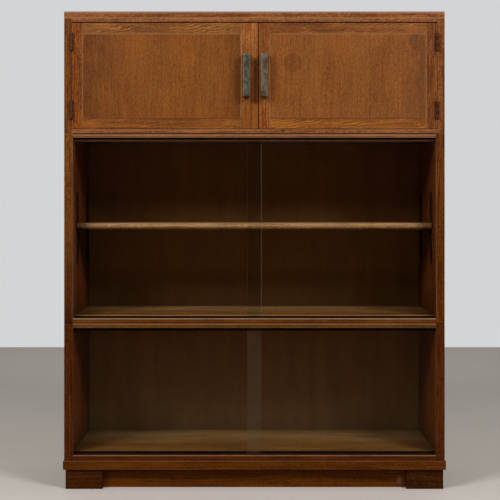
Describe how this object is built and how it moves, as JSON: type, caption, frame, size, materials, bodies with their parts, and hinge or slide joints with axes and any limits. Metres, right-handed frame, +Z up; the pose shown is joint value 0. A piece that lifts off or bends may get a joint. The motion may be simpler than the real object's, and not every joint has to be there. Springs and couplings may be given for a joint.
{
  "type": "stacking bookcase",
  "caption": "Oak bookcase of stacking units on a plinth: glazed units with sliding glass and a loose shelf, under a cupboard with hinged doors and strap handles.",
  "frame": {"origin": "on the floor, in the middle of the whole width and depth, handles included", "axes": "+X along the front, to the right as seen from the front; +Y to the back; +Z up"},
  "size_m": [0.895, 0.312, 1.118],
  "materials": {
    "oak_case": "waxed",
    "oak_interior": "satin",
    "oak_plinth": "waxed",
    "oak_doors": "waxed",
    "oak_shelf": "satin",
    "plywood_back": "matt",
    "stained_track": "matt",
    "clear_glass": "polished",
    "beech_dowel": "raw",
    "strip_steel": "satin",
    "hinge_steel": "aged",
    "bronze": "aged",
    "brass_fittings": "aged",
    "screw_steel": "aged"
  },
  "bodies": {
    "plinth": {"base_rail_front": "oak_plinth", "base_rails_side_and_back": "oak_plinth", "plinth_front_board": "oak_plinth", "plinth_side_and_back_boards": "oak_plinth", "front_feet": "oak_plinth", "plinth_glue_blocks": "oak_interior", "base_dowels": "beech_dowel"},
    "lower_case": {"lower_side_left": "oak_case", "lower_side_right": "oak_case", "lower_top_board": "oak_interior", "lower_bottom_board": "oak_interior", "lower_front_rails": "oak_case", "lower_tracks": "stained_track", "lower_back_panel": "plywood_back", "lower_dowels": "beech_dowel", "lower_screws": "screw_steel"},
    "lower_pane_left": {"lower_glass_left": "clear_glass"},
    "lower_pane_right": {"lower_glass_right": "clear_glass"},
    "mid_case": {"mid_side_left": "oak_case", "mid_side_right": "oak_case", "mid_top_board": "oak_interior", "mid_bottom_board": "oak_interior", "mid_front_rails": "oak_case", "mid_tracks": "stained_track", "mid_back_panel": "plywood_back", "mid_dowels": "beech_dowel", "mid_screws": "screw_steel", "mid_shelf_strips": "strip_steel", "mid_shelf_clips": "strip_steel"},
    "mid_pane_left": {"mid_glass_left": "clear_glass"},
    "mid_pane_right": {"mid_glass_right": "clear_glass"},
    "shelf": {"mid_shelf": "oak_shelf"},
    "cupboard_case": {"cupboard_side_left": "oak_case", "cupboard_side_right": "oak_case", "cupboard_top_board": "oak_case", "cupboard_front_rails": "oak_case", "cupboard_bottom_board": "oak_interior", "cupboard_back_panel": "plywood_back", "cupboard_screws": "screw_steel", "hinge_frame_leaves": "hinge_steel", "hinge_pins": "hinge_steel", "door_stops": "oak_interior", "catch_strikes": "brass_fittings"},
    "left_door": {"left_door_hinge_stile": "oak_doors", "left_door_meeting_stile": "oak_doors", "left_door_rails": "oak_doors", "left_door_panel": "oak_doors", "left_door_handle": "bronze", "left_door_hinge_leaves": "hinge_steel", "left_door_catch": "brass_fittings", "left_door_screws": "screw_steel", "left_door_meeting_strip": "oak_doors"},
    "right_door": {"right_door_hinge_stile": "oak_doors", "right_door_meeting_stile": "oak_doors", "right_door_rails": "oak_doors", "right_door_panel": "oak_doors", "right_door_handle": "bronze", "right_door_hinge_leaves": "hinge_steel", "right_door_catch": "brass_fittings", "right_door_screws": "screw_steel"}
  },
  "joints": [
    {"name": "lower_case_lift", "type": "slide", "parent": "plinth", "child": "lower_case", "axis": [0, 0, 1], "range_m": [0, 0.06]},
    {"name": "mid_case_lift", "type": "slide", "parent": "lower_case", "child": "mid_case", "axis": [0, 0, 1], "range_m": [0, 0.06]},
    {"name": "cupboard_lift", "type": "slide", "parent": "mid_case", "child": "cupboard_case", "axis": [0, 0, 1], "range_m": [0, 0.06]},
    {"name": "lower_pane_left_slide", "type": "slide", "parent": "lower_case", "child": "lower_pane_left", "axis": [1, 0, 0], "range_m": [0, 0.407]},
    {"name": "lower_pane_right_slide", "type": "slide", "parent": "lower_case", "child": "lower_pane_right", "axis": [1, 0, 0], "range_m": [-0.407, 0]},
    {"name": "mid_pane_left_slide", "type": "slide", "parent": "mid_case", "child": "mid_pane_left", "axis": [1, 0, 0], "range_m": [0, 0.407]},
    {"name": "mid_pane_right_slide", "type": "slide", "parent": "mid_case", "child": "mid_pane_right", "axis": [1, 0, 0], "range_m": [-0.407, 0]},
    {"name": "shelf_lift", "type": "slide", "parent": "mid_case", "child": "shelf", "axis": [0, 0, 1], "range_m": [0, 0.015]},
    {"name": "left_door_hinge", "type": "hinge", "parent": "cupboard_case", "child": "left_door", "pos_m": [-0.4275, -0.137, 0.9667], "axis": [0, 0, -1], "range_deg": [0, 170]},
    {"name": "right_door_hinge", "type": "hinge", "parent": "cupboard_case", "child": "right_door", "pos_m": [0.4275, -0.137, 0.9667], "axis": [0, 0, 1], "range_deg": [0, 170]}
  ]
}
